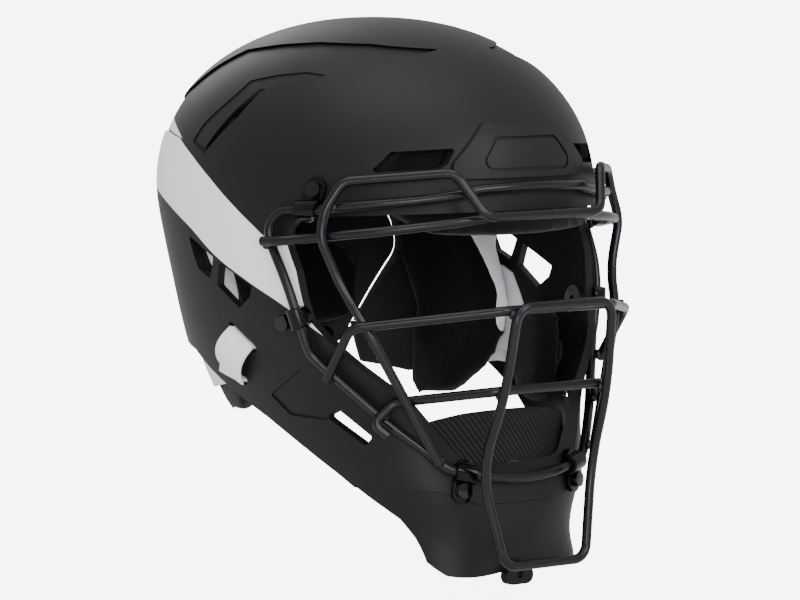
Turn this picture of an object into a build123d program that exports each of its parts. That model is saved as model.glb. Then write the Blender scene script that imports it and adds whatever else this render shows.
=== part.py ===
from build123d import *
from functools import cache
from math import copysign, cos, pi, radians, sin, tan
import os

os.makedirs("parts", exist_ok=True)

# Catcher's helmet, worn position: the face looks along -Y, the wearer's left is +X and +Z is up.
# The origin is the middle of the head, level with the ears.

# Overall form of the outer shell
HALF_WIDTH = 106.0
FRONT_REACH = 122.0
BACK_REACH = 136.0
WIDEST_LEVEL = 60.0
CROWN_RISE = 89.5
CHIN_DROP = 136.0
CROWN_POWER = 2.15
CROWN_ANGLES = (14, 28, 42, 56, 69, 80)
RING_POINTS = 24

# Shell and back plate
SHELL_WALL = 4.5
PLATE_WALL = 4.5
PLATE_GAP = 3.0
RECESS_DEPTH = 2.0
GROOVE_DEPTH = 1.0
BROW_RAISE = 2.5
BADGE_GROOVE_WIDTH = 1.6
LEDGE_DEPTH = 1.2
SIDE_RECESS_DEPTH = 1.4
CORNER_RADIUS = 8.0
VENT_CORNER = 1.2
WINDOW_CORNER = 26.0
OVERRUN = 40.0

# Cage wire
WIRE_DIAMETER = 5.0
WIRE_GAP = 1.5
WIRE_BEND = 9.0
SWEEP_RADIUS = 160.0
SWEEP_share = 0.46
CORNER_TURN = 38
TIGHT_BEND = 5.0
WELD_GAP = 0.1

# Clips, screws and T-nuts
CLIP_THICKNESS = 2.6
CLIP_WIDTH = 11.0
CLIP_FIT = 0.2
SCREW_DIAMETER = 4.0
SCREW_HEAD_DIAMETER = 8.0
SCREW_HEAD_HEIGHT = 3.0
SCREW_SLACK = 0.15
BARREL_DIAMETER = 6.4
FLANGE_DIAMETER = 15.0
FLANGE_THICKNESS = 1.2

# Pads
PAD_STAND = 2.0
DOT_DIAMETER = 20.0
DOT_SLACK = 0.15
SIDE_PAD_THICKNESS = 15.0
BROW_PAD_THICKNESS = 21.0
CROWN_PAD_THICKNESS = 15.0
BACK_PAD_THICKNESS = 14.0
CHIN_PAD_THICKNESS = 17.0
PAD_DRAFT = 14.0
PAD_CORNER = 9.0
PAD_ROUND = 6.0
SIDE_CORE = 62.0
BROW_CORE = 60.0
CROWN_CORE = 100.0
BACK_CORE = 70.0

# Straps and their rivets
STRAP_THICKNESS = 1.6
STRAP_SLACK = 0.3
TOP_STRAP_WIDTH = 32.0
SLOT_LENGTH = 23.0
SLOT_STRAP_WIDTH = 17.0
SLOT_WIDTH = 5.0
RIVET_DIAMETER = 3.0
RIVET_HEAD_DIAMETER = 8.0
RIVET_HEAD_HEIGHT = 1.2
STRAP_END = 50.0

# Throat guard lug
LUG_WIDTH = 18.0
LUG_HEIGHT = 9.0
LUG_THICKNESS = 5.0
LUG_PROUD = 0.6
LUG_HOLE_DIAMETER = 4.0
LUG_HOLE_LIFT = 5.0
LUG_DROP = 2.5

CROWN_HEIGHT = WIDEST_LEVEL + CROWN_RISE
FORM_DROP = WIDEST_LEVEL + CHIN_DROP
CENTRE_SHIFT = (BACK_REACH - FRONT_REACH) / 3
FRONT_RADIUS = FRONT_REACH + CENTRE_SHIFT
BACK_RADIUS = BACK_REACH - CENTRE_SHIFT
WIRE_RADIUS = WIRE_DIAMETER / 2
WIRE_STAND = WIRE_GAP + WIRE_RADIUS
LAP_STAND = WIRE_STAND + WIRE_DIAMETER + WELD_GAP
CROSS_STAND = LAP_STAND + WELD_GAP * 3
REACH = HALF_WIDTH + OVERRUN
DEPTH = BACK_REACH + OVERRUN
HOLE_REACH = SHELL_WALL * 3
PAD_OUTER = SHELL_WALL + PAD_STAND
STRAP_LOW = SHELL_WALL + STRAP_SLACK / 2
STRAP_TOP = STRAP_LOW + STRAP_THICKNESS
STRAP_RISE = STRAP_SLACK + STRAP_THICKNESS
BARREL_RADIUS = BARREL_DIAMETER / 2
SCREW_RADIUS = SCREW_DIAMETER / 2
HEAD_SEAT = CLIP_THICKNESS + CLIP_FIT * 2

# Rings of the form below its widest level: depth, half width, centre, front radius, back radius
# as shares of FORM_DROP, HALF_WIDTH, FRONT_REACH, FRONT_RADIUS and BACK_RADIUS, and the front's power
JAW_RING_shares = (
    (1.07, 0.49, -0.377, 0.504, 0.458, 3.2),
    (0.92, 0.575, -0.31, 0.598, 0.61, 3.2),
    (0.765, 0.68, -0.213, 0.70, 0.725, 2.9),
    (0.61, 0.802, -0.098, 0.795, 0.81, 2.4),
    (0.48, 0.896, -0.033, 0.89, 0.84, 2.2),
    (0.36, 0.953, 0.0, 0.96, 0.855, 2.5),
    (0.23, 0.986, 0.016, 1.0, 0.90, 2.6),
    (0.10, 1.0, 0.033, 1.008, 0.962, 2.4),
    (0.0, 1.0, 0.041, 1.0, 1.0, 2.1),
)


def deep(share):
    """Y of a share of the reach: forward of the origin for a positive share, behind it otherwise."""
    return -share * (FRONT_REACH if share > 0 else BACK_REACH)


def high(share):
    """Z of a share of the height above the origin, or of the drop to the chin below it."""
    return share * (CROWN_HEIGHT if share > 0 else CHIN_DROP)


def wide(share):
    return share * HALF_WIDTH


def side_view(points):
    """Points of an outline on Plane.YZ from pairs of forward and height shares."""
    return [(deep(forward), high(height)) for forward, height in points]


def front_view(points):
    """Points of an outline on Plane.XZ from pairs of width and height shares."""
    return [(wide(width), high(height)) for width, height in points]


def rings(inset):
    """Every ring of the form, from the chin up: level, half width, centre, front, back, power."""
    table = []
    for depth, width, centre, front, back, power in JAW_RING_shares:
        table.append((
            WIDEST_LEVEL - depth * FORM_DROP,
            width * HALF_WIDTH - inset,
            centre * FRONT_REACH,
            front * FRONT_RADIUS - inset,
            back * BACK_RADIUS - inset,
            power,
        ))
    for angle in CROWN_ANGLES:
        rise = sin(radians(angle)) ** (2 / CROWN_POWER)
        shrink = cos(radians(angle)) ** (2 / CROWN_POWER)
        table.append((
            WIDEST_LEVEL + rise * (CROWN_RISE - inset),
            shrink * (HALF_WIDTH - inset),
            JAW_RING_shares[-1][2] * FRONT_REACH,
            shrink * (FRONT_RADIUS - inset),
            shrink * (BACK_RADIUS - inset),
            2.0,
        ))
    return table


def ring_at(level, inset=0.0):
    """The form's ring at any level, on a smooth curve through the rings beside it."""
    table = rings(inset)
    last = len(table) - 2
    step = max(1, min(last - 1, sum(row[0] <= level for row in table) - 1))
    before, low, top, after = table[step - 1:step + 3]
    span = top[0] - low[0]
    t = (level - low[0]) / span
    values = []
    for a, b, c, d, a0, d0 in zip(before, low, top, after, [before[0]] * 6, [after[0]] * 6):
        slope_low = (c - a) / (top[0] - a0) * span
        slope_top = (d - b) / (d0 - low[0]) * span
        values.append(
            (2 * t**3 - 3 * t**2 + 1) * b + (t**3 - 2 * t**2 + t) * slope_low
            + (3 * t**2 - 2 * t**3) * c + (t**3 - t**2) * slope_top
        )
    return values


def ahead(width, height, stand_off=0.0):
    """Point on the form's front, grown by stand_off, from shares of width and height."""
    x, z = wide(width), high(height)
    _, half, centre, front, _, power = ring_at(z, -stand_off)
    return Vector(x, centre - front * (1 - (abs(x) / half) ** power) ** (1 / power), z)


def beside(forward, height, stand_off=0.0):
    """Point on the form's left side, grown by stand_off, from shares of reach and height."""
    y, z = deep(forward), high(height)
    _, half, centre, front, back, power = ring_at(z, -stand_off)
    if y > centre:
        front, power = back, 2.0
    return Vector(half * (1 - (abs(y - centre) / front) ** power) ** (1 / power), y, z)


def behind(width, height, stand_off=0.0):
    """Point on the form's back, grown by stand_off, from shares of width and height."""
    x, z = wide(width), high(height)
    _, half, centre, _, back, _ = ring_at(z, -stand_off)
    return Vector(x, centre + back * (1 - (abs(x) / half) ** 2) ** 0.5, z)


def free(width, forward, height):
    """Point off the form, from shares of width, reach and height."""
    return Vector(wide(width), deep(forward), high(height))


@cache
def form(inset):
    """Solid form of the helmet, closed at the crown, drawn in by inset all round."""
    faces = []
    for level, half, centre, front, back, power in rings(inset):
        points = []
        for step in range(RING_POINTS):
            turn = 2 * pi * step / RING_POINTS
            bend = power if sin(turn) < 0 else 2.0
            radius = front if sin(turn) < 0 else back
            points.append((
                half * copysign(abs(cos(turn)) ** (2 / bend), cos(turn)),
                centre + radius * copysign(abs(sin(turn)) ** (2 / bend), sin(turn)),
            ))
        with BuildSketch(Plane.XY.offset(level)) as ring:
            with BuildLine():
                Spline(*points, periodic=True)
            make_face()
        faces.append(ring.sketch.faces()[0])
    crown = Vertex(0, JAW_RING_shares[-1][2] * FRONT_REACH, CROWN_HEIGHT - inset)
    with BuildPart() as body:
        loft(sections=[*faces, crown])
    return body.part


def prism(points, plane, amount, corner=0.0, both=False):
    """Prism of an outline on a plane, with rounded corners."""
    with BuildPart() as block:
        with BuildSketch(plane) as outline:
            with BuildLine():
                Polyline(*points, close=True)
            make_face()
            if corner:
                fillet(outline.vertices(), corner)
        extrude(amount=amount, both=both)
    return block.part


def layer(outer_inset, inner_inset, window):
    """The part of the wall between two insets that lies in a window."""
    with BuildPart() as slab:
        add(form(outer_inset))
        add(window, mode=Mode.INTERSECT)
        add(form(inner_inset), mode=Mode.SUBTRACT)
    return slab.part


# Outlines in side view, as shares of reach and height
OPENING_shares = (
    (1.4, 0.38), (0.615, 0.348), (0.44, 0.338), (0.39, 0.30), (0.405, 0.24), (0.45, 0.16), (0.49, 0.0),
    (0.58, -0.096), (0.746, -0.294), (0.86, -0.54), (0.93, -0.585), (1.4, -0.615),
)
UNDERSIDE_shares = (
    (-1.4, -0.15), (-0.574, -0.15), (-0.33, -0.177), (-0.147, -0.272), (0.123, -0.404),
    (0.475, -0.604), (0.65, -0.718), (0.705, -0.757), (0.755, -0.83), (0.80, -0.915),
    (0.87, -0.965), (0.95, -0.987), (1.4, -0.992), (1.4, -1.4), (-1.4, -1.4),
)
REAR_VENT_shares = ((-0.233, 0.254), (-0.054, 0.184), (-0.085, 0.106), (-0.169, 0.139), (-0.206, 0.199))
MID_VENT_shares = ((-0.017, 0.169), (0.193, 0.097), (0.175, 0.058), (0.10, 0.016), (-0.04, 0.088))
JAW_VENT_shares = ((0.46, -0.375), (0.522, -0.345), (0.648, -0.445), (0.621, -0.482))
JAW_RECESS_shares = (
    (0.187, -0.311), (0.393, -0.20), (0.50, -0.214), (0.545, -0.308), (0.462, -0.39), (0.274, -0.383),
)
CROWN_VENT_shares = (
    (-0.137, 0.53), (-0.148, 0.56), (-0.02, 0.703), (0.045, 0.763), (0.09, 0.763), (0.02, 0.666),
)
CROWN_GROOVE_shares = (
    (-0.137, 0.54), (-0.249, 0.577), (-0.205, 0.635), (-0.08, 0.737), (-0.04, 0.789), (0.083, 0.81),
    (0.229, 0.823), (0.423, 0.806), (0.261, 0.796), (0.13, 0.773), (0.07, 0.75), (-0.01, 0.69),
)
CROWN_RECESS_shares = (
    (-1.1, 0.60), (-0.53, 0.755), (-0.40, 0.83), (-0.269, 0.888), (-0.05, 0.912), (0.13, 0.922),
    (0.353, 0.918), (0.56, 0.90), (0.50, 0.80), (0.229, 0.815), (0.083, 0.80), (-0.03, 0.78),
    (-0.07, 0.73), (-0.195, 0.63), (-0.24, 0.57), (-0.55, 0.60), (-0.9, 0.56),
)
# Outlines in front view, as shares of width and height
BROW_VENT_shares = ((0.708, 0.495), (0.623, 0.565), (0.368, 0.577), (0.415, 0.524), (0.449, 0.508))
BROW_PLATE_shares = ((-0.22, 0.66), (0.22, 0.66), (0.40, 0.53), (0.43, 0.475), (-0.43, 0.475), (-0.40, 0.53))
BADGE_shares = ((-0.19, 0.613), (0.19, 0.613), (0.315, 0.498), (-0.315, 0.498))
REAR_WINDOW_shares = (
    (0.735, 0.13), (0.735, 0.385), (-0.735, 0.385), (-0.735, 0.13),
    (-0.45, -0.23), (-0.27, -0.335), (0.27, -0.335), (0.45, -0.23),
)
LEDGE_shares = (
    (1.1, -0.645), (0.45, -0.645), (0.25, -0.70), (-0.25, -0.70), (-0.45, -0.645), (-1.1, -0.645),
    (-1.1, -1.1), (1.1, -1.1),
)

# Pads and straps: the sides in side view, the others in front view, the crown from above
UPPER_SIDE_PAD_shares = ((0.34, 0.40), (0.36, 0.58), (-0.30, 0.66), (-0.36, 0.46), (-0.10, 0.37))
REAR_SIDE_PAD_shares = (
    (-0.22, 0.235), (-0.115, 0.045), (-0.06, -0.12), (-0.095, -0.28), (-0.17, -0.40), (-0.28, -0.42),
    (-0.42, -0.47), (-0.38, -0.10), (-0.50, 0.13), (-0.47, 0.235),
)
JAW_PAD_shares = ((0.08, -0.08), (0.30, -0.06), (0.39, -0.20), (0.46, -0.38), (0.29, -0.415), (0.10, -0.27))
BROW_PAD_shares = ((-0.58, 0.353), (0.58, 0.353), (0.52, 0.54), (0.30, 0.58), (-0.30, 0.58), (-0.52, 0.54))
CHIN_PAD_shares = (
    (-0.50, -0.385), (0.50, -0.385), (0.44, -0.62), (0.34, -0.74), (-0.34, -0.74), (-0.44, -0.62),
)
BACK_PAD_shares = ((-0.44, -0.12), (0.44, -0.12), (0.44, 0.14), (-0.44, 0.14))
NAPE_PAD_shares = ((-0.26, -0.30), (0.26, -0.30), (0.22, -0.45), (-0.22, -0.45))
CROWN_PAD_shares = ((-0.36, 0.44), (0.36, 0.44), (0.36, -0.56), (-0.36, -0.56))
STRAP_LOOP_shares = ((0.03, -0.055), (0.15, -0.135), (0.05, -0.28), (-0.11, -0.24))
STRAP_RUN_shares = (
    (0.15, -0.135), (0.03, -0.055), (-0.06, 0.06), (-0.12, 0.085), (-0.32, 0.09), (-0.42, -0.145),
    (-0.71, -0.15), (-0.71, -0.28), (-0.42, -0.34), (-0.18, -0.30), (-0.05, -0.28), (0.06, -0.285),
)
TOP_STRAP_shares = (0.21, 0.56)

# Strap slots, the lug and the rivets
UPPER_SLOT_share = (0.088, -0.096)
UPPER_SLOT_LEAN = 34
LOWER_SLOT_share = (-0.03, -0.25)
LOWER_SLOT_LEAN = 14
LUG_LEVEL_share = -0.95
SHELL_RIVET_share = (0.0, 0.52)
PLATE_RIVET_share = (0.0, 0.24)
SIDE_RIVET_share = (0.37, -0.21)

# Middles of the pads with a flat inner face, and the hook-and-loop dots behind the pads
JAW_PAD_share = (0.28, -0.23)
CHIN_PAD_share = (0.0, -0.52)
FRONT_DOT_shares = ((0.0, 0.45), (0.0, -0.62))
SIDE_DOT_shares = ((0.05, 0.52), (-0.42, 0.12), (0.32, -0.25))
CROWN_DOT_share = (0.0, 0.93)
PLATE_DOT_shares = ((0.0, 0.03), (0.0, -0.26))

# Places of the clips: the screw on the shell, and the wire that the clip holds
UPPER_SCREW_share = (0.50, 0.433)
UPPER_WIRE_share = (0.50, 0.372)
CHEEK_SCREW_share = (0.388, -0.016)
CHEEK_WIRE_share = (0.47, 0.0)
CHIN_SCREW_share = (0.345, -0.642)
CHIN_WIRE_share = (0.345, -0.573)

# The cage's wires: each route is a list of points of its left half, from shares
brow_half = [
    ahead(0.0, 0.447, WIRE_STAND),
    ahead(0.16, 0.444, WIRE_STAND),
    ahead(0.32, 0.438, WIRE_STAND),
    ahead(0.42, 0.421, WIRE_STAND),
    ahead(0.58, 0.405, WIRE_STAND),
    ahead(0.74, 0.392, WIRE_STAND),
    beside(0.66, 0.384, WIRE_STAND),
    beside(0.575, 0.374, WIRE_STAND),
    beside(0.385, 0.362, WIRE_STAND),
    beside(0.336, 0.32, WIRE_STAND),
]
side_half = [
    beside(0.336, 0.268, WIRE_STAND),
    beside(0.426, 0.134, WIRE_STAND),
    beside(0.467, 0.034, WIRE_STAND),
    beside(0.492, -0.096, WIRE_STAND),
    beside(0.50, -0.137, WIRE_STAND),
    beside(0.557, -0.202, WIRE_STAND),
    beside(0.73, -0.387, WIRE_STAND),
    beside(0.85, -0.50, WIRE_STAND),
    ahead(0.43, -0.562, WIRE_STAND),
    ahead(0.25, -0.592, WIRE_STAND),
    ahead(0.0, -0.615, WIRE_STAND),
]


lower_brow_half = [
    ahead(0.0, 0.352, WIRE_STAND),
    ahead(0.16, 0.349, WIRE_STAND),
    ahead(0.31, 0.343, WIRE_STAND),
    ahead(0.43, 0.332, WIRE_STAND),
    ahead(0.60, 0.318, WIRE_STAND),
    ahead(0.76, 0.301, WIRE_STAND),
    beside(0.65, 0.288, WIRE_STAND),
    beside(0.53, 0.275, WIRE_STAND),
    beside(0.42, 0.263, LAP_STAND),
    beside(0.345, 0.26, LAP_STAND),
]
visor_half = [
    free(0.358, 1.078, 0.351),
    free(0.458, 0.975, 0.499),
    free(0.838, 0.651, 0.468),
    beside(0.61, 0.374, LAP_STAND),
    beside(0.62, 0.285, CROSS_STAND + WELD_GAP),
    free(0.858, 0.656, 0.114),
    free(0.795, 0.754, -0.022),
    ahead(0.49, -0.535, LAP_STAND - WELD_GAP * 4),
]
eye_half = [
    free(0.34, 1.167, 0.04),
    free(0.874, 0.738, -0.022),
    beside(0.574, -0.228, CROSS_STAND),
]
mouth_half = [
    free(0.32, 1.116, -0.257),
    free(0.632, 0.765, -0.309),
    beside(0.73, -0.385, CROSS_STAND + WELD_GAP * 14),
    beside(0.77, -0.43, CROSS_STAND + WELD_GAP * 3),
]
front_half = [
    free(0.297, 1.213, 0.0535),
    free(0.324, 1.155, -0.28),
    free(0.35, 1.033, -0.56),
    free(0.255, 1.09, -0.92),
]


def mirrored(points):
    """The right half of a route, from the end back to the middle."""
    return [Vector(-point.X, point.Y, point.Z) for point in reversed(points)]


def bends(points, closed):
    """Bend radius at each corner: tight where the wire turns sharply, as wide as fits elsewhere."""
    count = len(points)
    radii = []
    for here in range(count) if closed else range(1, count - 1):
        before = points[here] - points[here - 1]
        after = points[(here + 1) % count] - points[here]
        turn = before.get_angle(after)
        fits = min(before.length, after.length) * SWEEP_share / tan(radians(max(turn, 1) / 2))
        radii.append(min(fits, WIRE_BEND if turn > CORNER_TURN else SWEEP_RADIUS))
    return radii


def wire(points, radius=WIRE_RADIUS, closed=False):
    """A round wire bent along the points."""
    with BuildPart() as rod:
        with BuildLine() as route:
            FilletPolyline(*points, radius=bends(points, closed), close=closed)
        with BuildSketch(Plane(origin=route.line @ 0, z_dir=route.line % 0)):
            Circle(radius)
        sweep(path=route.line)
    return rod.part


class Fastener:
    """Place of a screw or rivet: its spot on the form and the outward normal there."""

    def __init__(self, finder, width, height):
        nudge_share = 0.01
        self.spot = finder(width, height)
        across = finder(width + nudge_share, height) - self.spot
        up = finder(width, height + nudge_share) - self.spot
        normal = across.cross(up).normalized()
        self.normal = normal if normal.dot(Vector(self.spot.X, self.spot.Y, 0)) > 0 else normal * -1

    def plane(self, lift, toward=None):
        """Plane square to the normal, at a height above the form."""
        return Plane(origin=self.spot + self.normal * lift, x_dir=toward, z_dir=self.normal)

    def pin(self, radius, low, top):
        """Round pin from the height low to the height top above the form."""
        with BuildPart() as rod:
            with BuildSketch(self.plane(low)):
                Circle(radius)
            extrude(amount=top - low)
        return rod.part


def paired(*pieces):
    """The left pieces together with their mirror images."""
    with BuildPart() as pair:
        for piece in pieces:
            add(piece)
            add(mirror(piece, about=Plane.YZ))
    return pair.part


def save(node, piece):
    """Write one piece to its file."""
    piece.label = node
    export_step(piece, "parts/" + node + ".step")
    print(node, round(piece.volume), len(piece.solids()), piece.is_valid)


def save_sides(node, piece):
    """Write a left piece and its mirror image to their files."""
    save(node + "_left", piece)
    save(node + "_right", mirror(piece, about=Plane.YZ))


CLIPS = {
    "upper": (Fastener(beside, *UPPER_SCREW_share), beside(*UPPER_WIRE_share, WIRE_STAND)),
    "cheek": (Fastener(beside, *CHEEK_SCREW_share), beside(*CHEEK_WIRE_share, WIRE_STAND)),
    "chin": (Fastener(ahead, *CHIN_SCREW_share), ahead(*CHIN_WIRE_share, WIRE_STAND)),
}
SHELL_STRAP_RIVET = Fastener(behind, *SHELL_RIVET_share)
PLATE_STRAP_RIVET = Fastener(behind, *PLATE_RIVET_share)
SIDE_STRAP_RIVET = Fastener(behind, *SIDE_RIVET_share)

# Outer shell: one moulding with the face opening, the neck's underside and the rear window cut out
with BuildPart() as badge_groove:
    with BuildSketch(Plane.XZ) as badge:
        with BuildLine():
            Polyline(*front_view(BADGE_shares), close=True)
        make_face()
        fillet(badge.vertices(), TIGHT_BEND)
        offset(amount=-BADGE_GROOVE_WIDTH, mode=Mode.SUBTRACT)
    extrude(amount=DEPTH)
    add(form(GROOVE_DEPTH - BROW_RAISE), mode=Mode.SUBTRACT)

with BuildPart() as strap_slots:
    with BuildSketch(Plane.YZ):
        for place_share, lean in ((UPPER_SLOT_share, UPPER_SLOT_LEAN), (LOWER_SLOT_share, LOWER_SLOT_LEAN)):
            with Locations((deep(place_share[0]), high(place_share[1]))):
                SlotOverall(SLOT_LENGTH, SLOT_WIDTH, rotation=lean)
    extrude(amount=REACH, both=True)


def recess(outline_shares, depth):
    """What is cut away for a shallow recess on both sides of the shell."""
    with BuildPart() as hollow:
        add(prism(side_view(outline_shares), Plane.YZ, REACH, VENT_CORNER, both=True))
        add(form(depth), mode=Mode.SUBTRACT)
    return hollow.part


with BuildPart() as chin_recess:
    add(prism(front_view(LEDGE_shares), Plane.XZ, DEPTH))
    add(form(LEDGE_DEPTH), mode=Mode.SUBTRACT)

lug_spot = ahead(0.0, LUG_LEVEL_share)
with BuildPart() as throat_lug:
    with BuildSketch(Plane.XZ.offset(LUG_PROUD - lug_spot.Y)):
        with Locations((0, LUG_HEIGHT / 2 - LUG_DROP - CHIN_DROP)):
            SlotOverall(LUG_WIDTH, LUG_HEIGHT)
    extrude(amount=-LUG_THICKNESS)

with BuildPart() as outer_shell:
    add(form(0))
    add(layer(-BROW_RAISE, SHELL_WALL, prism(front_view(BROW_PLATE_shares), Plane.XZ, DEPTH, TIGHT_BEND)))
    add(badge_groove.part, mode=Mode.SUBTRACT)
    add(recess(CROWN_RECESS_shares, SIDE_RECESS_DEPTH), mode=Mode.SUBTRACT)
    add(recess(CROWN_GROOVE_shares, RECESS_DEPTH), mode=Mode.SUBTRACT)
    add(recess(JAW_RECESS_shares, GROOVE_DEPTH), mode=Mode.SUBTRACT)
    add(chin_recess.part, mode=Mode.SUBTRACT)
    add(form(SHELL_WALL), mode=Mode.SUBTRACT)
    add(prism(side_view(OPENING_shares), Plane.YZ, REACH, CORNER_RADIUS, both=True), mode=Mode.SUBTRACT)
    add(prism(side_view(UNDERSIDE_shares), Plane.YZ, REACH, both=True), mode=Mode.SUBTRACT)
    add(prism(front_view(REAR_WINDOW_shares), Plane.XZ, -DEPTH, WINDOW_CORNER), mode=Mode.SUBTRACT)
    for outline_shares in (REAR_VENT_shares, MID_VENT_shares, JAW_VENT_shares, CROWN_VENT_shares):
        add(prism(side_view(outline_shares), Plane.YZ, REACH, VENT_CORNER, both=True), mode=Mode.SUBTRACT)
    add(paired(prism(front_view(BROW_VENT_shares), Plane.XZ, DEPTH, VENT_CORNER)), mode=Mode.SUBTRACT)
    add(strap_slots.part, mode=Mode.SUBTRACT)
    for screw, _ in CLIPS.values():
        add(paired(screw.pin(BARREL_DIAMETER / 2 + SCREW_SLACK, -HOLE_REACH, HOLE_REACH)), mode=Mode.SUBTRACT)
    add(SHELL_STRAP_RIVET.pin(RIVET_DIAMETER / 2 + SCREW_SLACK, -HOLE_REACH, HOLE_REACH), mode=Mode.SUBTRACT)
    add(throat_lug.part)
    with BuildSketch(Plane.XZ):
        with Locations((0, LUG_HOLE_LIFT - LUG_DROP - CHIN_DROP)):
            Circle(LUG_HOLE_DIAMETER / 2)
    extrude(amount=DEPTH, mode=Mode.SUBTRACT)


save("outer_shell", outer_shell.part)

# Back plate: it closes the rear window and hangs from the top strap
with BuildPart() as plate_window:
    with BuildSketch(Plane.XZ) as plate_outline:
        with BuildLine():
            Polyline(*front_view(REAR_WINDOW_shares), close=True)
        make_face()
        fillet(plate_outline.vertices(), WINDOW_CORNER)
        offset(amount=-PLATE_GAP, mode=Mode.REPLACE)
    extrude(amount=-DEPTH)

with BuildPart() as drilled_plate:
    add(layer(0, PLATE_WALL, plate_window.part))
    add(PLATE_STRAP_RIVET.pin(RIVET_DIAMETER / 2 + SCREW_SLACK, -HOLE_REACH, HOLE_REACH), mode=Mode.SUBTRACT)
    add(paired(SIDE_STRAP_RIVET.pin(RIVET_DIAMETER / 2 + SCREW_SLACK, -HOLE_REACH, HOLE_REACH)), mode=Mode.SUBTRACT)
save("back_plate", drilled_plate.part)

# The cage: six wires that lap and are welded where they cross
perimeter = brow_half + side_half
perimeter = perimeter + mirrored(perimeter[1:-1])
save("cage_perimeter_wire", wire(perimeter, closed=True))
save("cage_lower_brow_bar", wire(mirrored(lower_brow_half) + lower_brow_half[1:]))
save("cage_visor_wire", wire(mirrored(visor_half) + visor_half))
save("cage_eye_bar", wire(mirrored(eye_half) + eye_half))
save("cage_mouth_bar", wire(mirrored(mouth_half) + mouth_half))
save("cage_front_loop", wire(front_half + mirrored(front_half), closed=True))

# Clips: a strap of plastic over the perimeter wire, screwed to the shell
clip_sleeve = wire(perimeter, WIRE_RADIUS + CLIP_THICKNESS, closed=True)
clip_bore = wire(perimeter, WIRE_RADIUS + CLIP_FIT, closed=True)


def clip_blank(screw, hold, top):
    """Slot-shaped block from under the screw to past the wire."""
    reach = hold - screw.spot
    toward = reach - screw.normal * reach.dot(screw.normal)
    with BuildPart() as blank:
        with BuildSketch(screw.plane(-HOLE_REACH, toward)):
            with Locations((toward.length / 2, 0)):
                SlotOverall(toward.length + CLIP_WIDTH + WIRE_RADIUS, CLIP_WIDTH)
        extrude(amount=HOLE_REACH + top)
    return blank.part


def clip_saddle(screw, hold):
    """The clip's hump over the wire."""
    with BuildPart() as saddle:
        add(clip_sleeve)
        add(clip_blank(screw, hold, HOLE_REACH), mode=Mode.INTERSECT)
    return saddle.part


def clip_at(screw, hold):
    """One clip with its bore for the wire and its screw hole."""
    with BuildPart() as clip:
        add(clip_blank(screw, hold, CLIP_THICKNESS + CLIP_FIT))
        add(clip_saddle(screw, hold))
        add(clip_bore, mode=Mode.SUBTRACT)
        add(form(-CLIP_FIT), mode=Mode.SUBTRACT)
        add(screw.pin(SCREW_RADIUS + SCREW_SLACK, -HOLE_REACH, HOLE_REACH), mode=Mode.SUBTRACT)
        add(screw.pin(SCREW_HEAD_DIAMETER / 2 + SCREW_SLACK, HEAD_SEAT - SCREW_SLACK, HOLE_REACH), mode=Mode.SUBTRACT)
    return clip.part


def screw_at(screw):
    """Button-headed screw from the clip's top into its T-nut."""
    with BuildPart() as bolt:
        add(screw.pin(SCREW_RADIUS, -SHELL_WALL - FLANGE_THICKNESS, HEAD_SEAT))
        add(screw.pin(SCREW_HEAD_DIAMETER / 2, HEAD_SEAT, HEAD_SEAT + SCREW_HEAD_HEIGHT))
    return bolt.part


def nut_at(screw):
    """T-nut: a flange against the inside of the shell and a barrel in its hole."""
    with BuildPart() as nut:
        add(screw.pin(FLANGE_DIAMETER / 2, -SHELL_WALL - FLANGE_THICKNESS, FLANGE_THICKNESS - SHELL_WALL))
        add(form(SHELL_WALL + SCREW_SLACK), mode=Mode.INTERSECT)
        add(screw.pin(BARREL_RADIUS, -SHELL_WALL - FLANGE_THICKNESS, -SCREW_SLACK * 2))
        add(screw.pin(SCREW_RADIUS + SCREW_SLACK, -HOLE_REACH, HOLE_REACH), mode=Mode.SUBTRACT)
    return nut.part


for place, (screw, hold) in CLIPS.items():
    save_sides(place + "_clip", clip_at(screw, hold))
save("clip_screws", paired(*[screw_at(screw) for screw, _ in CLIPS.values()]))
save("clip_nuts", paired(*[nut_at(screw) for screw, _ in CLIPS.values()]))


def blank_pad(points, plane, inner_round=0.0):
    """Block of a pad's outline that widens outward from its plane."""
    with BuildPart() as block:
        with BuildSketch(plane) as outline:
            with BuildLine():
                Polyline(*points, close=True)
            make_face()
            fillet(outline.vertices(), PAD_CORNER)
        extrude(amount=REACH, taper=-PAD_DRAFT)
        if inner_round:
            inner_face = block.faces().filter_by(plane)
            fillet(inner_face.edges(), inner_round)
    return block.part


def bent_pad(points, plane, thickness, inner_round=0.0):
    """Foam pad of even thickness that follows the wall."""
    with BuildPart() as slab:
        add(form(PAD_OUTER))
        add(blank_pad(points, plane), mode=Mode.INTERSECT)
        add(form(PAD_OUTER + thickness), mode=Mode.SUBTRACT)
        if inner_round:
            cut = slab.faces(Select.LAST).filter_by(GeomType.BSPLINE)
            beside_cut = [edge for face in cut for edge in face.edges()]
            rim = [edge for edge in beside_cut if sum(edge.is_same(other) for other in beside_cut) == 1]
            fillet(rim, inner_round)
    return slab.part


def crowned_pad(points, place, along, thickness):
    """Foam pad, thickest in its middle, square to the wall at its place."""
    plane = place.plane(-PAD_OUTER - thickness, along)
    local = [tuple(plane.to_local_coords(Vector(point)))[:2] for point in points]
    with BuildPart() as slab:
        add(blank_pad(local, plane, PAD_ROUND))
        add(form(PAD_OUTER), mode=Mode.INTERSECT)
    return slab.part


def on_side(outline_shares):
    """Points on the left side of the form, from pairs of forward and height shares."""
    return [beside(forward, height, -PAD_OUTER) for forward, height in outline_shares]


def on_front(outline_shares):
    """Points on the front of the form, from pairs of width and height shares."""
    return [ahead(width, height, -PAD_OUTER) for width, height in outline_shares]


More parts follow.
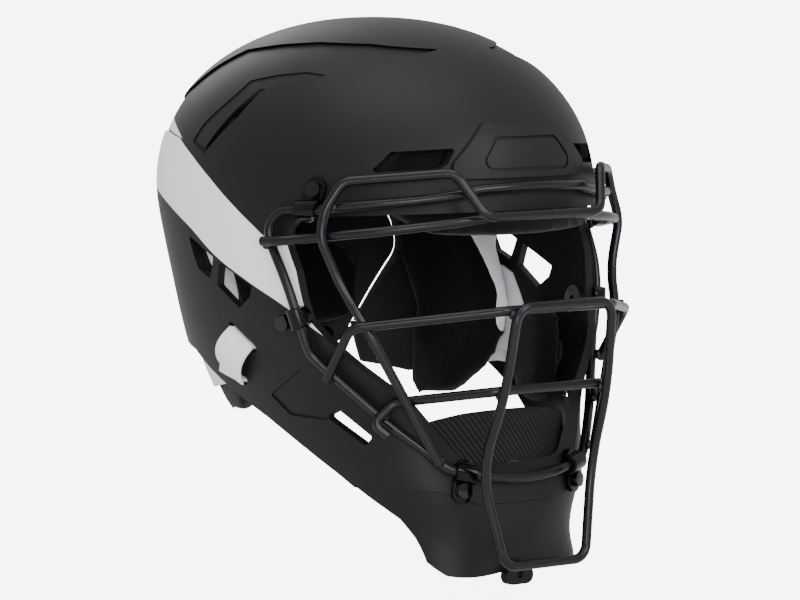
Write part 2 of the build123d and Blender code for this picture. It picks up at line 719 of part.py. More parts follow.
# Pads: a set of foam blocks inside the shell and the back plate
SIDE_PLANE = Plane.YZ.offset(SIDE_CORE)
BACK_PLANE = Plane(origin=(0, BACK_CORE, 0), x_dir=(-1, 0, 0), z_dir=(0, 1, 0))
BACKWARD = Vector(0, 1, 0)
LEFTWARD = Vector(1, 0, 0)
save_sides("upper_side_pad", bent_pad(
    side_view(UPPER_SIDE_PAD_shares), SIDE_PLANE, SIDE_PAD_THICKNESS, PAD_ROUND))
save_sides("rear_side_pad", bent_pad(side_view(REAR_SIDE_PAD_shares), SIDE_PLANE, SIDE_PAD_THICKNESS))
save_sides("jaw_pad", crowned_pad(
    on_side(JAW_PAD_shares), Fastener(beside, *JAW_PAD_share), BACKWARD, SIDE_PAD_THICKNESS))
save("forehead_pad", bent_pad(
    front_view(BROW_PAD_shares), Plane.XZ.offset(BROW_CORE), BROW_PAD_THICKNESS))
save("chin_pad", crowned_pad(
    on_front(CHIN_PAD_shares), Fastener(ahead, *CHIN_PAD_share), LEFTWARD, CHIN_PAD_THICKNESS))
save("back_plate_pad", bent_pad(front_view(BACK_PAD_shares), BACK_PLANE, BACK_PAD_THICKNESS))
save("nape_pad", bent_pad(front_view(NAPE_PAD_shares), BACK_PLANE, BACK_PAD_THICKNESS))
crown_outline = [(wide(width), deep(forward)) for width, forward in CROWN_PAD_shares]
save("crown_pad", bent_pad(crown_outline, Plane.XY.offset(CROWN_CORE), CROWN_PAD_THICKNESS, PAD_ROUND))


def dot(finder, width, height):
    """Hook-and-loop dot between a pad and the wall."""
    spot = Fastener(finder, width, height)
    disc = spot.pin(DOT_DIAMETER / 2, -HOLE_REACH, 0)
    return layer(SHELL_WALL + DOT_SLACK, PAD_OUTER - DOT_SLACK, disc)


save("shell_pad_dots", Part() + [
    *[dot(ahead, *place_share) for place_share in FRONT_DOT_shares], dot(behind, *CROWN_DOT_share),
    *paired(*[dot(beside, *place_share) for place_share in SIDE_DOT_shares]).solids(),
])
save("back_plate_pad_dots", Part() + [dot(behind, *place_share) for place_share in PLATE_DOT_shares])

# Straps: elastic webbing inside the shell, drawn out through the slots at the sides
STRAP_PLANE = Plane.YZ.offset(STRAP_END)
with BuildPart() as strap_ends:
    with BuildSketch(STRAP_PLANE):
        for place_share, lean in ((UPPER_SLOT_share, UPPER_SLOT_LEAN), (LOWER_SLOT_share, LOWER_SLOT_LEAN)):
            with Locations((deep(place_share[0]), high(place_share[1]))):
                Rectangle(SLOT_STRAP_WIDTH, STRAP_THICKNESS, rotation=lean)
    extrude(amount=REACH)

with BuildPart() as side_strap:
    add(layer(STRAP_LOW, STRAP_TOP, prism(side_view(STRAP_RUN_shares), STRAP_PLANE, REACH)))
    add(layer(-STRAP_RISE, -STRAP_SLACK, prism(side_view(STRAP_LOOP_shares), STRAP_PLANE, REACH)))
    add(layer(-STRAP_THICKNESS / 2, STRAP_TOP - STRAP_THICKNESS / 2, strap_ends.part))
    add(SIDE_STRAP_RIVET.pin(RIVET_DIAMETER / 2 + SCREW_SLACK, -HOLE_REACH, HOLE_REACH), mode=Mode.SUBTRACT)
save_sides("side_strap", side_strap.part)

top_low, top_high = TOP_STRAP_shares
strap_half = TOP_STRAP_WIDTH / 2
top_outline = [
    (-strap_half, high(top_low)), (strap_half, high(top_low)),
    (strap_half, high(top_high)), (-strap_half, high(top_high)),
]
with BuildPart() as top_strap:
    add(layer(STRAP_LOW, STRAP_TOP, prism(top_outline, Plane.XZ, -DEPTH)))
    for rivet in (SHELL_STRAP_RIVET, PLATE_STRAP_RIVET):
        add(rivet.pin(RIVET_DIAMETER / 2 + SCREW_SLACK, -HOLE_REACH, HOLE_REACH), mode=Mode.SUBTRACT)
save("top_strap", top_strap.part)


def rivet_head(place, low, top, body, mode):
    """Rivet head between two heights, cut to the wall or the strap beside it."""
    with BuildPart() as head:
        add(place.pin(RIVET_HEAD_DIAMETER / 2, low, top))
        add(body, mode=mode)
    return head.part


def rivet_at(place):
    """Rivet through the wall and the strap, with a head on each side."""
    low = -STRAP_TOP - RIVET_HEAD_HEIGHT
    with BuildPart() as rivet:
        add(place.pin(RIVET_DIAMETER / 2, low, RIVET_HEAD_HEIGHT))
        add(rivet_head(place, low / 2, RIVET_HEAD_HEIGHT, form(-STRAP_SLACK / 2), Mode.SUBTRACT))
        add(rivet_head(place, low, low / 2, form(STRAP_TOP + STRAP_SLACK / 2), Mode.INTERSECT))
    return rivet.part


save("shell_rivet", rivet_at(SHELL_STRAP_RIVET))
plate_rivets = [rivet_at(PLATE_STRAP_RIVET), *paired(rivet_at(SIDE_STRAP_RIVET)).solids()]
save("back_plate_rivets", Part() + plate_rivets)
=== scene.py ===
import math

import bmesh
import bpy
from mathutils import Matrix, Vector
from mathutils.bvhtree import BVHTree


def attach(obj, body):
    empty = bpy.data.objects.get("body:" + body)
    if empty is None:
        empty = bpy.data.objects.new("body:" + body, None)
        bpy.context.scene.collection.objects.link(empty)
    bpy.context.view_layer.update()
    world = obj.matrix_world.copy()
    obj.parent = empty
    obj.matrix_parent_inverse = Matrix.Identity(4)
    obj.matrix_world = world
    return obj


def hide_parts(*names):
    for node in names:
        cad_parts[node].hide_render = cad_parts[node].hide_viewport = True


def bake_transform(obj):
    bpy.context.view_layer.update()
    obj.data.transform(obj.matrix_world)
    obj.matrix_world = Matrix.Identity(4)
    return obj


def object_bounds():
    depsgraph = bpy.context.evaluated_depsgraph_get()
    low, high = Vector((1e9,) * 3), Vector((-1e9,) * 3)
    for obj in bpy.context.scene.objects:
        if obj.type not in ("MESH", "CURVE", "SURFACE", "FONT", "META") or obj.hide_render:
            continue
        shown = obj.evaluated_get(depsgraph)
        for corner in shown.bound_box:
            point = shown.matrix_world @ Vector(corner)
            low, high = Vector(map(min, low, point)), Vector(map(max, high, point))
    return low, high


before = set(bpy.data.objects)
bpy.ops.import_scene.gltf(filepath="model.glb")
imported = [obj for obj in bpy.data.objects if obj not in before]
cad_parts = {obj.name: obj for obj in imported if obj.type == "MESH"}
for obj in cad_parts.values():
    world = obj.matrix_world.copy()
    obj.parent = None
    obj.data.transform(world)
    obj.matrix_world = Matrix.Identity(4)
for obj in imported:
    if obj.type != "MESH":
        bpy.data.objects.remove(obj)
cad_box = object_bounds()


# Studio: a white room with soft lamps, a pale floor under the chin, and a long lens
# from the wearer's right front, a little above the brow.
VIEW_TURN = math.radians(-39)
VIEW_RISE = math.radians(5)
VIEW_DISTANCE = 2.4
SENSOR_WIDTH = 36
PHOTO_WIDTH = 800
FOCAL_PIXELS = 4536
ORIGIN_PIXEL = 381
LENS_REACH = 20
WHITE = (1, 1, 1, 1)
ROOM_GLOW = 0.8
ROOM_SEEN = 7.0
FLOOR_SEEN = 6.4
FLOOR_SIZE = 12
FLOOR_GAP = 0.006
FLOOR_PAINT = (0.85, 0.85, 0.85, 1)
FLOOR_DULL = 0.9
LAMPS = (
    ("overhead", (-0.3, -0.2, 1.6), 1.5, 18),
    ("right_front", (-1.3, -1.9, 0.3), 1.0, 24),
    ("high_front", (0.2, -1.9, 1.0), 0.9, 22),
    ("behind", (0.6, 1.8, 1.0), 1.0, 7),
)
backward = Vector((
    math.sin(VIEW_TURN) * math.cos(VIEW_RISE),
    -math.cos(VIEW_TURN) * math.cos(VIEW_RISE),
    math.sin(VIEW_RISE),
))
lens = bpy.data.cameras.new("camera")
lens.sensor_width = SENSOR_WIDTH
lens.lens = FOCAL_PIXELS / PHOTO_WIDTH * SENSOR_WIDTH
lens.shift_x = (PHOTO_WIDTH / 2 - ORIGIN_PIXEL) / PHOTO_WIDTH
lens.clip_end = LENS_REACH
camera = bpy.data.objects.new("camera", lens)
bpy.context.scene.collection.objects.link(camera)
camera.location = backward * VIEW_DISTANCE
camera.rotation_euler = backward.to_track_quat("Z", "Y").to_euler()
bpy.context.scene.camera = camera

room = bpy.data.worlds.new("studio")
room.use_nodes = True
room_tree = room.node_tree
glow = room_tree.nodes["Background"]
glow.inputs["Color"].default_value = WHITE
glow.inputs["Strength"].default_value = ROOM_GLOW
seen = room_tree.nodes.new("ShaderNodeBackground")
seen.inputs["Color"].default_value = WHITE
seen.inputs["Strength"].default_value = ROOM_SEEN
room_rays = room_tree.nodes.new("ShaderNodeLightPath")
either = room_tree.nodes.new("ShaderNodeMixShader")
room_tree.links.new(room_rays.outputs["Is Camera Ray"], either.inputs["Fac"])
room_tree.links.new(glow.outputs["Background"], either.inputs[1])
room_tree.links.new(seen.outputs["Background"], either.inputs[2])
room_tree.links.new(either.outputs["Shader"], room_tree.nodes["World Output"].inputs["Surface"])
bpy.context.scene.world = room

for lamp_name, spot, size, power in LAMPS:
    lamp = bpy.data.lights.new(lamp_name, "AREA")
    lamp.size = size
    lamp.energy = power
    holder = bpy.data.objects.new(lamp_name, lamp)
    bpy.context.scene.collection.objects.link(holder)
    holder.location = spot
    holder.rotation_euler = Vector(spot).to_track_quat("Z", "Y").to_euler()

floor_shape = bmesh.new()
bmesh.ops.create_grid(floor_shape, x_segments=1, y_segments=1, size=FLOOR_SIZE / 2)
bmesh.ops.translate(floor_shape, verts=floor_shape.verts, vec=(0, 0, cad_box[0][2] - FLOOR_GAP))
floor_mesh = bpy.data.meshes.new("floor")
floor_shape.to_mesh(floor_mesh)
floor_shape.free()
floor = bpy.data.objects.new("floor", floor_mesh)
bpy.context.scene.collection.objects.link(floor)
floor_white = bpy.data.materials.new("floor_white")
floor_white.use_nodes = True
floor_tree = floor_white.node_tree
floor_shader = floor_tree.nodes["Principled BSDF"]
floor_shader.inputs["Base Color"].default_value = FLOOR_PAINT
floor_shader.inputs["Roughness"].default_value = FLOOR_DULL
floor_shader.inputs["Emission Color"].default_value = WHITE
floor_rays = floor_tree.nodes.new("ShaderNodeLightPath")
floor_glow = floor_tree.nodes.new("ShaderNodeMath")
floor_glow.operation = "MULTIPLY"
floor_glow.inputs[1].default_value = FLOOR_SEEN
floor_tree.links.new(floor_rays.outputs["Is Camera Ray"], floor_glow.inputs[0])
floor_tree.links.new(floor_glow.outputs["Value"], floor_shader.inputs["Emission Strength"])
floor_mesh.materials.append(floor_white)


# Shell and back plate: two injection mouldings in a tough polycarbonate blend, sprayed
# satin graphite, with a pale band masked off and sprayed round the sides and the back.
SHELL_COLOURS = ((0.0078, 0.0078, 0.0075), (0.0098, 0.0098, 0.0095))
SHELL_DULL = 0.47
BAND_COLOUR = (0.93, 0.93, 1.0)
BAND_SPAN = (-0.075, 0.14)
BAND_LEVELS = (-0.02, 0.12)
BAND_TOP = ((-0.075, 0.0345), (-0.0586, 0.0357), (-0.0355, 0.040), (-0.025, 0.046), (-0.006, 0.058),
            (0.0145, 0.071), (0.036, 0.082), (0.075, 0.095), (0.14, 0.099))
BAND_FOOT = ((-0.075, -0.014), (-0.063, -0.006), (-0.047, 0.0046), (-0.022, 0.016), (0.003, 0.027),
             (0.035, 0.044), (0.088, 0.059), (0.14, 0.063))
SPRAY_EDGE = 0.0004
SKIN_FACING = 0.75
GRAIN_TOOTH = 900.0
GRAIN_CLOUD = 25.0
GRAIN_DEEP = 0.0001
GRAIN_DETAIL = (("Tooth", "Height", 3), ("Cloud", "Patches", 2))
GLOSS_SPREAD = 0.12


def number(tree, operation, first, second=0.0, third=0.0):
    """A sum of sockets and plain numbers in a material or a group."""
    node = tree.nodes.new("ShaderNodeMath")
    node.operation = operation
    for place, value in enumerate((first, second, third)):
        if isinstance(value, (int, float)):
            node.inputs[place].default_value = value
        else:
            tree.links.new(value, node.inputs[place])
    return node.outputs["Value"]


def colour_mix(tree, amount, low, high):
    """A blend of two colours, each a socket or three numbers."""
    node = tree.nodes.new("ShaderNodeMix")
    node.data_type = "RGBA"
    tree.links.new(amount, node.inputs["Factor"])
    for name, value in (("A", low), ("B", high)):
        if isinstance(value, tuple):
            node.inputs[name].default_value = (*value, 1)
        else:
            tree.links.new(value, node.inputs[name])
    return node.outputs["Result"]


def new_effect(name, inputs, outputs):
    """An empty shader group with named sockets."""
    group = bpy.data.node_groups.new(name, "ShaderNodeTree")
    for label, kind, value in inputs:
        socket = group.interface.new_socket(label, in_out="INPUT", socket_type=kind)
        if value is not None:
            socket.default_value = value
    for label, kind in outputs:
        group.interface.new_socket(label, in_out="OUTPUT", socket_type=kind)
    return group, group.nodes.new("NodeGroupInput").outputs, group.nodes.new("NodeGroupOutput").inputs


# Grain gives the tooth of a finish, and cloudy patches where it is duller or paler
grain, grain_in, grain_out = new_effect(
    "grain",
    (
        ("Place", "NodeSocketVector", None),
        ("Tooth", "NodeSocketFloat", GRAIN_TOOTH),
        ("Cloud", "NodeSocketFloat", GRAIN_CLOUD),
    ),
    (("Height", "NodeSocketFloat"), ("Patches", "NodeSocketFloat")),
)
for size_name, result_name, detail in GRAIN_DETAIL:
    texture = grain.nodes.new("ShaderNodeTexNoise")
    texture.inputs["Detail"].default_value = detail
    grain.links.new(grain_in["Place"], texture.inputs["Vector"])
    grain.links.new(grain_in[size_name], texture.inputs["Scale"])
    grain.links.new(texture.outputs["Fac"], grain_out[result_name])


class Finish:
    """A material with grain: its colour runs from low to high over the patches."""

    def __init__(self, name, low, high, rough, tooth=GRAIN_TOOTH, cloud=GRAIN_CLOUD, relief=0.05, **fixed):
        self.material = bpy.data.materials.new(name)
        self.material.use_nodes = True
        self.tree = self.material.node_tree
        self.shader = self.tree.nodes["Principled BSDF"]
        self.place = self.tree.nodes.new("ShaderNodeTexCoord").outputs["Object"]
        self.grain = self.tree.nodes.new("ShaderNodeGroup")
        self.grain.node_tree = grain
        self.grain.inputs["Tooth"].default_value = tooth
        self.grain.inputs["Cloud"].default_value = cloud
        self.tree.links.new(self.place, self.grain.inputs["Place"])
        self.patches = self.grain.outputs["Patches"]
        self.colour = colour_mix(self.tree, self.patches, low, high)
        self.tree.links.new(self.colour, self.shader.inputs["Base Color"])
        gloss = number(self.tree, "MULTIPLY_ADD", self.patches, GLOSS_SPREAD, rough - GLOSS_SPREAD / 2)
        self.tree.links.new(gloss, self.shader.inputs["Roughness"])
        self.bump = self.tree.nodes.new("ShaderNodeBump")
        self.bump.inputs["Strength"].default_value = relief
        self.bump.inputs["Distance"].default_value = GRAIN_DEEP
        self.tree.links.new(self.grain.outputs["Height"], self.bump.inputs["Height"])
        self.tree.links.new(self.bump.outputs["Normal"], self.shader.inputs["Normal"])
        for label, value in fixed.items():
            self.shader.inputs[label.replace("_", " ")].default_value = value

    def tint(self, amount, colour):
        """Lays another colour over what is there."""
        self.colour = colour_mix(self.tree, amount, self.colour, colour)
        self.tree.links.new(self.colour, self.shader.inputs["Base Color"])

    def emboss(self, height, strength, deep):
        """Adds a second, larger relief under the grain."""
        under = self.tree.nodes.new("ShaderNodeBump")
        under.inputs["Strength"].default_value = strength
        under.inputs["Distance"].default_value = deep
        self.tree.links.new(height, under.inputs["Height"])
        self.tree.links.new(under.outputs["Normal"], self.bump.inputs["Normal"])

    def axes(self):
        """The three coordinates of the place."""
        split = self.tree.nodes.new("ShaderNodeSeparateXYZ")
        self.tree.links.new(self.place, split.inputs["Vector"])
        return split.outputs

    def coat(self, *nodes):
        """Gives the finish to CAD nodes."""
        for node in nodes:
            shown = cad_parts[node]
            shown.data.materials.clear()
            shown.data.materials.append(self.material)


def band_limit(tree, depth, points):
    """Level of one edge of the band, as a curve over the depth from the front."""
    curve = tree.nodes.new("ShaderNodeFloatCurve")
    front, rear = BAND_SPAN
    low, high = BAND_LEVELS
    line = curve.mapping.curves[0]
    ends = [((y - front) / (rear - front), (z - low) / (high - low)) for y, z in points]
    line.points[0].location = ends[0]
    line.points[1].location = ends[-1]
    for end in ends[1:-1]:
        line.points.new(*end)
    for point in line.points:
        point.handle_type = "AUTO_CLAMPED"
    curve.mapping.update()
    tree.links.new(depth, curve.inputs["Value"])
    return number(tree, "MULTIPLY_ADD", curve.outputs["Value"], high - low, low)


shell_paint = Finish("shell_paint", *SHELL_COLOURS, SHELL_DULL, tooth=1500.0, cloud=16.0, relief=0.14,
                     Specular_IOR_Level=0.17)
tree = shell_paint.tree
side, depth, level = shell_paint.axes()
span = number(tree, "SUBTRACT", depth, BAND_SPAN[0])
span = number(tree, "DIVIDE", span, BAND_SPAN[1] - BAND_SPAN[0])
over = number(tree, "SUBTRACT", level, band_limit(tree, span, BAND_FOOT))
under = number(tree, "SUBTRACT", band_limit(tree, span, BAND_TOP), level)
within = number(tree, "DIVIDE", number(tree, "MINIMUM", over, under), SPRAY_EDGE)
surface = tree.nodes.new("ShaderNodeNewGeometry")
outward = tree.nodes.new("ShaderNodeCombineXYZ")
tree.links.new(side, outward.inputs["X"])
tree.links.new(depth, outward.inputs["Y"])
unit = tree.nodes.new("ShaderNodeVectorMath")
unit.operation = "NORMALIZE"
tree.links.new(outward.outputs["Vector"], unit.inputs[0])
facing = tree.nodes.new("ShaderNodeVectorMath")
facing.operation = "DOT_PRODUCT"
tree.links.new(surface.outputs["Normal"], facing.inputs[0])
tree.links.new(unit.outputs["Vector"], facing.inputs[1])
skin = number(tree, "GREATER_THAN", facing.outputs["Value"], SKIN_FACING)
reached = number(tree, "GREATER_THAN", depth, BAND_SPAN[0])
band = number(tree, "MULTIPLY", number(tree, "MULTIPLY", within, skin), reached)
band = number(tree, "MAXIMUM", number(tree, "MINIMUM", band, 1.0), 0.0)
shell_paint.tint(band, BAND_COLOUR)
shell_paint.coat("outer_shell", "back_plate")


# Cage: hard steel wire, bent cold, lapped and resistance welded, then dipped in glossy
# black vinyl. The dip runs a little thicker here and there, so its gloss is uneven.
WIRE_COLOURS = ((0.0025, 0.002, 0.0036), (0.005, 0.004, 0.007))
WIRE_DULL = 0.27
wire_coat = Finish("wire_coat", *WIRE_COLOURS, WIRE_DULL, tooth=420.0, cloud=70.0, relief=0.18,
                   Specular_IOR_Level=0.3)
CAGE_WIRES = ("cage_perimeter_wire", "cage_lower_brow_bar", "cage_visor_wire", "cage_eye_bar",
              "cage_mouth_bar", "cage_front_loop")
wire_coat.coat(*CAGE_WIRES)


# Weld beads: where two wires lap, the weld squeezes out a small collar under the vinyl.
# Each bead sits between the two wires' centres and rides with the cage.
BEAD_REACH = 0.0012
BEAD_APART = 0.012
BEAD_RADIUS = 0.0026
BEAD_FLAT = 0.75


def lap_points(first, second):
    """Places where two wires touch, each with the direction across the lap."""
    tree_of_second = BVHTree.FromObject(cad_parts[second], bpy.context.evaluated_depsgraph_get())
    found = []
    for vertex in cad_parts[first].data.vertices:
        near, normal, _, gap = tree_of_second.find_nearest(vertex.co, BEAD_REACH)
        if near is None:
            continue
        middle = (vertex.co + near) / 2
        if all((middle - other).length > BEAD_APART for other, _ in found):
            found.append((middle, normal.copy()))
    return found


def new_piece(name, shape, finish=None):
    """An object at the origin from a finished bmesh."""
    mesh = bpy.data.meshes.new(name)
    shape.to_mesh(mesh)
    shape.free()
    piece = bpy.data.objects.new(name, mesh)
    bpy.context.scene.collection.objects.link(piece)
    if finish:
        mesh.materials.append(finish.material)
    for polygon in mesh.polygons:
        polygon.use_smooth = True
    return piece


beads = bmesh.new()
for index, first in enumerate(CAGE_WIRES):
    for second in CAGE_WIRES[index + 1:]:
        for middle, across in lap_points(first, second):
            turn = across.to_track_quat("Z", "Y").to_matrix().to_4x4()
            made = bmesh.ops.create_uvsphere(beads, u_segments=14, v_segments=8, radius=BEAD_RADIUS)["verts"]
            bmesh.ops.scale(beads, verts=made, vec=(1, 1, BEAD_FLAT))
            bmesh.ops.transform(beads, verts=made, matrix=turn)
            bmesh.ops.translate(beads, verts=made, vec=middle)
weld_beads = new_piece("weld_beads", beads, wire_coat)
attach(weld_beads, "helmet")


# Clips: six moulded nylon pieces, glossy black, three on each side. Each one is a saddle
# over the cage's wire with a round seat for its screw, and its edges are eased.
CLIP_EDGE = 0.0006
CLIP_DULL = 0.16
SHARP_ANGLE = math.radians(40)
MERGE_GAP = 0.00001
JET_COLOURS = ((0.001, 0.001, 0.0015), (0.002, 0.002, 0.0025))
clip_nylon = Finish("clip_nylon", *JET_COLOURS, CLIP_DULL, tooth=600.0, Specular_IOR_Level=0.2)


def merged(node):
    """A closed bmesh of a CAD node's shape."""
    shape = bmesh.new()
    shape.from_mesh(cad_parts[node].data)
    bmesh.ops.remove_doubles(shape, verts=shape.verts, dist=MERGE_GAP)
    return shape


def rounded_copy(name, node, finish, width, segments=3):
    """A piece that stands for a CAD node, with its sharp edges rounded."""
    piece = new_piece(name, merged(node), finish)
    rounding = piece.modifiers.new("rounded", "BEVEL")
    rounding.width = width
    rounding.segments = segments
    rounding.limit_method = "ANGLE"
    rounding.angle_limit = SHARP_ANGLE
    rounding.harden_normals = True
    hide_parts(node)
    return piece


for hand in ("left", "right"):
    for place in ("upper", "cheek", "chin"):
        node = f"{place}_clip_{hand}"
        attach(rounded_copy("moulded_" + node, node, clip_nylon, CLIP_EDGE), "helmet")


# Screws and rivets: button-headed steel screws, blackened, draw the clips down. Low black
# rivets hold the top strap to the shell and all three straps to the back plate.
HEAD_EDGE = 0.0022
SCREW_DULL = 0.12
screw_black = Finish("screw_black", *JET_COLOURS, SCREW_DULL, tooth=1500.0, Specular_IOR_Level=0.35)
button_screws = rounded_copy("button_screws", "clip_screws", screw_black, HEAD_EDGE,
                             segments=4)
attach(button_screws, "helmet")
screw_black.coat("shell_rivet", "back_plate_rivets")


# T-nuts: pressed steel, zinc plated, seated against the inside of the shell's wall. The
# screws end in them. The plating is bright with duller clouds.
ZINC_COLOURS = ((0.38, 0.38, 0.39), (0.55, 0.55, 0.56))
ZINC_DULL = 0.35
nut_zinc = Finish("nut_zinc", *ZINC_COLOURS, ZINC_DULL, tooth=1500.0, relief=0.1, Metallic=1.0)
nut_zinc.coat("clip_nuts")


# Ear pads: cut foam in a knitted sleeve, pressed to shape and stuck to the wall by
# hook-and-loop dots, with a white elastic panel sewn on at the front edge.
VOXEL = 0.0035
PAD_DRAW = 0.0008
PAD_PRESSURE = 3.0
PAD_LIMIT = 0.0022
CLOTH_QUALITY = 4
SWELL_STEPS = 12
SMOOTH_PASSES = 4
SMOOTH_SHARE = 0.5
KNIT_PITCH = 0.0011
KNIT_SWAY = 0.25
KNIT_DEEP = 0.0003
KNIT_STRENGTH = 0.5
KNIT_DULL = 0.88
PAD_BLACK = (0.002, 0.002, 0.0022)
PAD_GREY = (0.005, 0.005, 0.0055)
PANEL_WHITE = (0.9, 0.9, 0.95)
PANEL_EDGE = 0.0045
PANEL_CURVE = 8.0
PANEL_MIDDLE = -0.022


def levelled(tree, waves, count):
    """Brings a sum of waves into the range from 0 to 1."""
    return number(tree, "MULTIPLY_ADD", waves, 0.5 / count, 0.5)


# Knit gives rows of small loops from two crossing waves
loops, loops_in, loops_out = new_effect(
    "knit_loops",
    (("Place", "NodeSocketVector", None), ("Pitch", "NodeSocketFloat", KNIT_PITCH)),
    (("Height", "NodeSocketFloat"),),
)
split = loops.nodes.new("ShaderNodeSeparateXYZ")
loops.links.new(loops_in["Place"], split.inputs["Vector"])
across = number(loops, "ADD", split.outputs["X"], split.outputs["Y"])
across = number(loops, "DIVIDE", across, loops_in["Pitch"])
along = number(loops, "DIVIDE", split.outputs["Z"], loops_in["Pitch"])
turn = number(loops, "MULTIPLY", across, 2 * math.pi)
sway = number(loops, "MULTIPLY", number(loops, "SINE", turn), KNIT_SWAY)
rise = number(loops, "MULTIPLY", number(loops, "ADD", along, sway), 2 * math.pi)
stitches = number(loops, "ADD", number(loops, "SINE", rise), number(loops, "COSINE", turn))
loops.links.new(levelled(loops, stitches, 2), loops_out["Height"])


def settle(piece, kind, **values):
    """Applies one modifier to the piece at once."""
    modifier = piece.modifiers.new(kind.lower(), kind)
    for key, value in values.items():
        setattr(modifier, key, value)
    ready = piece.evaluated_get(bpy.context.evaluated_depsgraph_get())
    shape = bpy.data.meshes.new_from_object(ready)
    piece.modifiers.clear()
    old = piece.data
    piece.data = shape
    bpy.data.meshes.remove(old)


def swell(piece):
    """Blows the pad up by cloth pressure, no point further than the limit."""
    start = [vertex.co.copy() for vertex in piece.data.vertices]
    cloth = piece.modifiers.new("cloth", "CLOTH")
    cloth.settings.use_pressure = True
    cloth.settings.uniform_pressure_force = PAD_PRESSURE
    cloth.settings.effector_weights.gravity = 0
    cloth.settings.quality = CLOTH_QUALITY
    cloth.point_cache.frame_end = SWELL_STEPS
    for step in range(1, SWELL_STEPS + 1):
        bpy.context.scene.frame_set(step)
    ready = piece.evaluated_get(bpy.context.evaluated_depsgraph_get())
    blown = [vertex.co.copy() for vertex in ready.data.vertices]
    piece.modifiers.clear()
    bpy.context.scene.frame_set(1)
    for vertex, old, new in zip(piece.data.vertices, start, blown):
        way = new - old
        if way.length > PAD_LIMIT:
            way = way.normalized() * PAD_LIMIT
        vertex.co = old + way


def foam_pad(node, body, finish):
    """A soft pad that stands for a CAD node."""
    piece = new_piece("foam_" + node, merged(node))
    settle(piece, "REMESH", mode="VOXEL", voxel_size=VOXEL)
    shape = bmesh.new()
    shape.from_mesh(piece.data)
    for _ in range(SMOOTH_PASSES):
        bmesh.ops.smooth_vert(shape, verts=shape.verts, factor=SMOOTH_SHARE, use_axis_x=True,
                              use_axis_y=True, use_axis_z=True)
    shape.normal_update()
    for vertex in shape.verts:
        vertex.co -= vertex.normal * PAD_DRAW
    shape.to_mesh(piece.data)
    shape.free()
    swell(piece)
    piece.data.materials.clear()
    piece.data.materials.append(finish.material)
    for polygon in piece.data.polygons:
        polygon.use_smooth = True
    finer = piece.modifiers.new("finer", "SUBSURF")
    finer.levels = 1
    finer.render_levels = 1
    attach(piece, body)
    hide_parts(node)


def pad_cloth(name):
    """The black knit of the pads."""
    finish = Finish(name, PAD_BLACK, PAD_GREY, KNIT_DULL, tooth=1600.0, cloud=40.0, relief=0.3,
                    Sheen_Weight=0.12, Specular_IOR_Level=0.1)
    knit = finish.tree.nodes.new("ShaderNodeGroup")
    knit.node_tree = loops
    finish.tree.links.new(finish.place, knit.inputs["Place"])
    finish.emboss(knit.outputs["Height"], KNIT_STRENGTH, KNIT_DEEP)
    return finish


panel_knit = pad_cloth("panel_knit")
side, depth, level = panel_knit.axes()
height = number(panel_knit.tree, "SUBTRACT", level, PANEL_MIDDLE)
rim = number(panel_knit.tree, "MULTIPLY", height, height)
rim = number(panel_knit.tree, "MULTIPLY_ADD", rim, PANEL_CURVE, PANEL_EDGE)
panel_knit.tint(number(panel_knit.tree, "LESS_THAN", depth, rim), PANEL_WHITE)
for hand in ("left", "right"):
    foam_pad("rear_side_pad_" + hand, "helmet", panel_knit)


# Forehead, crown, upper side, jaw, back plate and nape pads: the same foam in the same
# black knit, all over. Two of them are fixed to the back plate and swing with it.
pad_knit = pad_cloth("pad_knit")
PAD_NODES = ["forehead_pad", "crown_pad"]
for hand in ("left", "right"):
    PAD_NODES += [f"upper_side_pad_{hand}", f"jaw_pad_{hand}"]
for node in PAD_NODES:
    foam_pad(node, "helmet", pad_knit)
for node in ("back_plate_pad", "nape_pad"):
    foam_pad(node, "back_plate", pad_knit)


# Chin pad: a block of foam across the chin guard, covered in a slanting ribbed mesh. The
# crests of the ribs are painted paler, a painted highlight for the light they catch.
RIB_PITCH = 0.0024
RIB_DEEP = 0.0005
RIB_WAY = (0.8, 0.6)
RIB_CREST = 0.55
RIB_STRENGTH = 0.7
RIB_HIGHLIGHT_SHARE = 0.5
RIB_DULL = 0.8
RIB_HIGHLIGHT_GREY = (0.026, 0.026, 0.028)
chin_mesh = Finish("chin_mesh", PAD_BLACK, PAD_GREY, RIB_DULL, tooth=1400.0, cloud=40.0, relief=0.3,
                   Specular_IOR_Level=0.2)
tree = chin_mesh.tree
side, depth, level = chin_mesh.axes()
slant = number(tree, "MULTIPLY", level, RIB_WAY[1])
slant = number(tree, "MULTIPLY_ADD", side, RIB_WAY[0], slant)
ribs = number(tree, "SINE", number(tree, "MULTIPLY", slant, 2 * math.pi / RIB_PITCH))
ribs = levelled(tree, ribs, 1)
# painted highlight: the rib crests are tinted a paler grey
lit_crest = number(tree, "GREATER_THAN", ribs, RIB_CREST)
chin_mesh.tint(number(tree, "MULTIPLY", lit_crest, RIB_HIGHLIGHT_SHARE), RIB_HIGHLIGHT_GREY)
chin_mesh.emboss(ribs, RIB_STRENGTH, RIB_DEEP)
foam_pad("chin_pad", "helmet", chin_mesh)


# Hook-and-loop dots: round pads of tape between the foam and the wall. The loops give a
# dull, rough face.
TAPE_COLOURS = ((0.008, 0.008, 0.008), (0.015, 0.015, 0.015))
TAPE_DULL = 0.9
dot_tape = Finish("dot_tape", *TAPE_COLOURS, TAPE_DULL, tooth=1500.0, relief=0.8)
dot_tape.coat("shell_pad_dots", "back_plate_pad_dots")
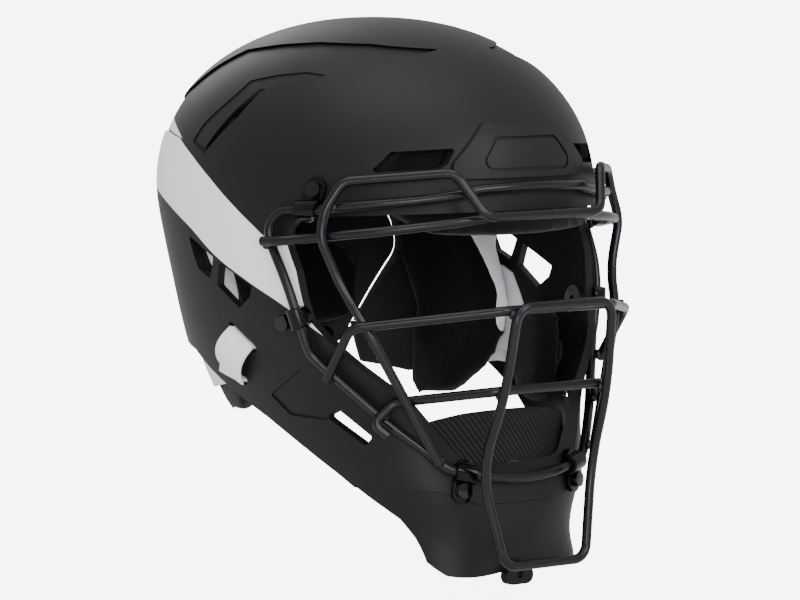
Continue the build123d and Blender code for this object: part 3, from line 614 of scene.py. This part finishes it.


# Straps: white woven elastic; their inward faces behind the ears are painted dark grey, a
# painted shade for the dim inside of the helmet. A wide one hangs the back plate from the
# shell. A narrow one on each side is sewn to the plate, comes out through a slot, bows off
# the shell and goes back in by the slot below it.
WEAVE_PITCH = 0.0013
CORD_PITCH = 0.0024
STRAP_EDGE = 0.0004
UPPER_SLOT = Vector((0, -0.0107, -0.0131))
LOWER_SLOT = Vector((0, 0.0041, -0.034))
LOOP_BOW = 0.005
LOOP_CUTS = 4
SEEK_STEP = 0.0001
SHADE_PAINT_START = 0.030
WEAVE_DEEP = 0.0003
WEAVE_STRENGTH = 0.45
ELASTIC_COLOURS = ((0.88, 0.88, 0.94), (0.95, 0.95, 1.0))
ELASTIC_DULL = 0.78
webbing = Finish("webbing", *ELASTIC_COLOURS, ELASTIC_DULL, cloud=60.0, relief=0.15, Sheen_Weight=0.2)
tree = webbing.tree
side, depth, level = webbing.axes()
rising = number(tree, "MULTIPLY", number(tree, "ADD", level, depth), 2 * math.pi / CORD_PITCH)
falling = number(tree, "MULTIPLY", number(tree, "SUBTRACT", level, depth), 2 * math.pi / WEAVE_PITCH)
weave = number(tree, "ADD", number(tree, "SINE", rising), number(tree, "SINE", falling))
webbing.emboss(levelled(tree, weave, 2), WEAVE_STRENGTH, WEAVE_DEEP)
surface = tree.nodes.new("ShaderNodeNewGeometry")
towards = tree.nodes.new("ShaderNodeVectorMath")
towards.operation = "DOT_PRODUCT"
tree.links.new(surface.outputs["Normal"], towards.inputs[0])
tree.links.new(webbing.place, towards.inputs[1])
# painted shade: the inward faces of the straps behind the ears are tinted dark grey
shaded_inward = number(tree, "LESS_THAN", towards.outputs["Value"], 0.0)
rear = number(tree, "GREATER_THAN", depth, SHADE_PAINT_START)
webbing.tint(number(tree, "MULTIPLY", shaded_inward, rear), PAD_GREY)


def elastic(name, node):
    """A strap that stands for a CAD node, with rounded edges."""
    return rounded_copy(name, node, webbing, STRAP_EDGE, segments=2)


def bow_loop(piece, outward):
    """Lifts the run between the slots off the shell in a parabola, highest halfway."""
    wall = BVHTree.FromObject(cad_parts["outer_shell"], bpy.context.evaluated_depsgraph_get())
    shape = bmesh.new()
    shape.from_mesh(piece.data)
    run = LOWER_SLOT - UPPER_SLOT

    def share(point):
        offset = Vector((0, point.y, point.z)) - UPPER_SLOT
        return offset.dot(run) / run.length_squared

    def outside(point):
        return wall.ray_cast(point + outward * SEEK_STEP, outward)[0] is None

    free = [face for face in shape.faces
            if 0 < share(face.calc_center_median()) < 1 and outside(face.calc_center_median())]
    edges = list(dict.fromkeys(edge for face in free for edge in face.edges))
    bmesh.ops.subdivide_edges(shape, edges=edges, cuts=LOOP_CUTS, use_grid_fill=True)
    bmesh.ops.triangulate(shape, faces=shape.faces)
    for vertex in shape.verts:
        along = share(vertex.co)
        if 0 < along < 1 and outside(vertex.co):
            vertex.co += outward * LOOP_BOW * 4 * along * (1 - along)
    shape.to_mesh(piece.data)
    shape.free()


for hand, sign in (("left", 1), ("right", -1)):
    strap = elastic("elastic_side_" + hand, "side_strap_" + hand)
    bow_loop(strap, Vector((sign, 0, 0)))
    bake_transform(strap)
top_strap = elastic("elastic_top", "top_strap")
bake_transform(top_strap)
